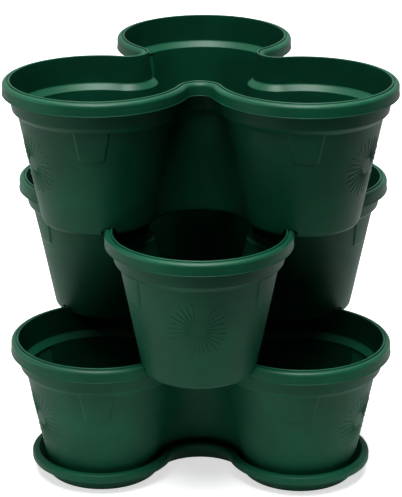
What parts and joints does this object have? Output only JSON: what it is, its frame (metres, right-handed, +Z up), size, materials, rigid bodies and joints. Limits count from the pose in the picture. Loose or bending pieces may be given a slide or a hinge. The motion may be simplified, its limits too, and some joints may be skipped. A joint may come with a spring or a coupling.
{
  "type": "vertical planter tower",
  "caption": "Stacking planter tower: three-lobed pots, each turned on the one below so that every lobe is an open planting pocket, in a three-lobed saucer.",
  "frame": {"origin": "on the ground under the tower's middle: the centre of the saucer's flat underside, on the upright axis that the pots are turned about", "axes": "+Z up; +Y towards the back lobe of the saucer, bottom pot and top pot, so the middle pot's front lobe and the picture's viewer are on the -Y side; +X to the viewer's right"},
  "size_m": [0.4, 0.4324, 0.4325],
  "materials": {
    "saucer": "satin moulded polypropylene, dark green",
    "bottom_pot": "satin moulded polypropylene, dark green",
    "middle_pot": "satin moulded polypropylene, dark green",
    "top_pot": "satin moulded polypropylene, dark green"
  },
  "bodies": {
    "saucer": {"saucer": "saucer"},
    "bottom_pot": {"bottom_pot": "bottom_pot"},
    "middle_pot": {"middle_pot": "middle_pot"},
    "top_pot": {"top_pot": "top_pot"}
  },
  "joints": [
    {"name": "bottom_pot_lift", "type": "slide", "parent": "saucer", "child": "bottom_pot", "axis": [0, 0, 1], "range_m": [0, 0.1]},
    {"name": "middle_pot_lift", "type": "slide", "parent": "bottom_pot", "child": "middle_pot", "axis": [0, 0, 1], "range_m": [0, 0.1]},
    {"name": "top_pot_lift", "type": "slide", "parent": "middle_pot", "child": "top_pot", "axis": [0, 0, 1], "range_m": [0, 0.1]}
  ]
}
